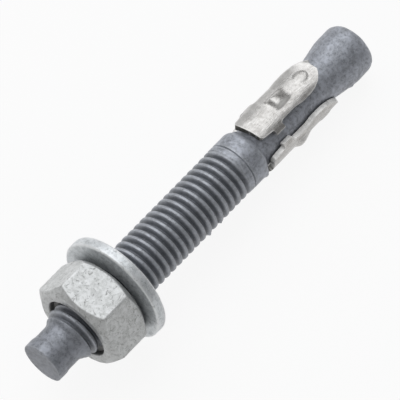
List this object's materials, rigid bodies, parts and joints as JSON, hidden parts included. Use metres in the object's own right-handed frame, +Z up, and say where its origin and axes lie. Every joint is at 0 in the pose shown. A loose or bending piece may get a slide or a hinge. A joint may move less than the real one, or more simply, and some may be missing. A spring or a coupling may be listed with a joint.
{
  "type": "wedge anchor",
  "caption": "Expansion wedge anchor: threaded stud with a coned end, a rolled clip on its neck, a washer and a hexagon nut, lying on its side.",
  "frame": {"origin": "centre of the bounding box at the surface that the anchor lies on, midway along its length", "axes": "+X along the anchor from the driving end towards the cone, +Z up"},
  "size_m": [0.0803, 0.02, 0.0201],
  "materials": {
    "galvanised_stud": "dull hot-dip zinc",
    "stainless_clip": "bright rolled sheet",
    "galvanised_washer": "pale hot-dip zinc",
    "galvanised_nut": "pale hot-dip zinc"
  },
  "bodies": {
    "stud": {"stud": "galvanised_stud"},
    "clip": {"expansion_clip": "stainless_clip"},
    "washer": {"washer": "galvanised_washer"},
    "nut": {"hex_nut": "galvanised_nut"}
  },
  "joints": [
    {"name": "clip_turn", "type": "hinge", "parent": "stud", "child": "clip", "pos_m": [0.02099, 0, 0.00631], "axis": [0.9969, 0, -0.0792], "continuous": true},
    {"name": "washer_slide", "type": "slide", "parent": "stud", "child": "washer", "axis": [0.9969, 0, -0.0792], "range_m": [-0.00751, 0.02851]},
    {"name": "nut_spin", "type": "hinge", "parent": "washer", "child": "nut", "pos_m": [-0.02761, 0, 0.01017], "axis": [0.9969, 0, -0.0792], "range_deg": [-1800, 6840]}
  ],
  "couplings": [
    {"joint": "washer_slide", "follows": "nut_spin", "m_per_rad": 0.00023873}
  ]
}
